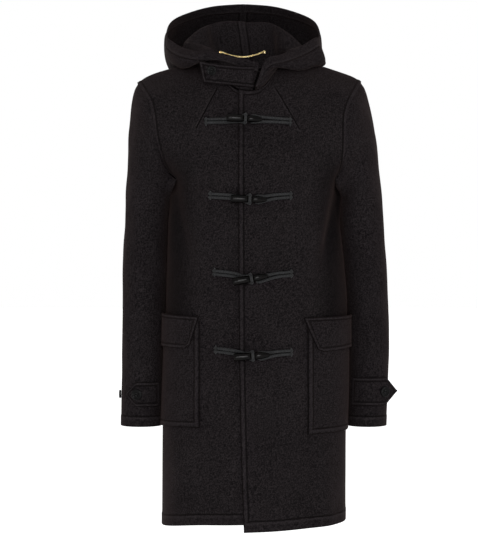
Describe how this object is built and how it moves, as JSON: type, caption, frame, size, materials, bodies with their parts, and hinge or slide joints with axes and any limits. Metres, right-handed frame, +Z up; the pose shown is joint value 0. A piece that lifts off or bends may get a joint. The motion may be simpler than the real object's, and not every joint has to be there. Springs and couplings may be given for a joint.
{
  "type": "duffle coat",
  "caption": "Knee-length hooded duffle coat in heavy dark wool with horn toggles on braided cords, a buttoned throat tab, flapped patch pockets and strapped cuffs.",
  "frame": {"origin": "between the shoulders at neck level, where the wearer holds the coat up", "axes": "+Z up the wearer's body, +X towards the wearer's left, front of the coat towards -Y"},
  "size_m": [0.4994, 0.3322, 0.9547],
  "materials": {
    "wool": "near-black felted melton wool with a short nap",
    "cord": "dark grey braided cord",
    "horn": "polished black horn",
    "button": "glossy black",
    "chain": "polished"
  },
  "bodies": {
    "root": {"front_left": "wool", "front_right": "wool", "back": "wool", "sleeve_right": "wool", "sleeve_left": "wool", "hood_left": "wool", "hood_right": "wool", "throat_tab": "wool", "pocket_right": "wool", "pocket_left": "wool", "flap_right": "wool", "flap_left": "wool", "cuff_strap_right": "wool", "cuff_strap_left": "wool", "toggle_1": "horn", "toggle_2": "horn", "toggle_3": "horn", "toggle_4": "horn", "toggle_cord_1": "cord", "toggle_cord_2": "cord", "toggle_cord_3": "cord", "toggle_cord_4": "cord", "loop_cord_1": "cord", "loop_cord_2": "cord", "loop_cord_3": "cord", "loop_cord_4": "cord", "button_throat": "button", "button_cuff_right": "button", "button_cuff_left": "button", "button_spare_right": "button", "hanger_chain": "chain", "hanger_end_right": "chain", "hanger_end_left": "chain"}
  },
  "joints": []
}
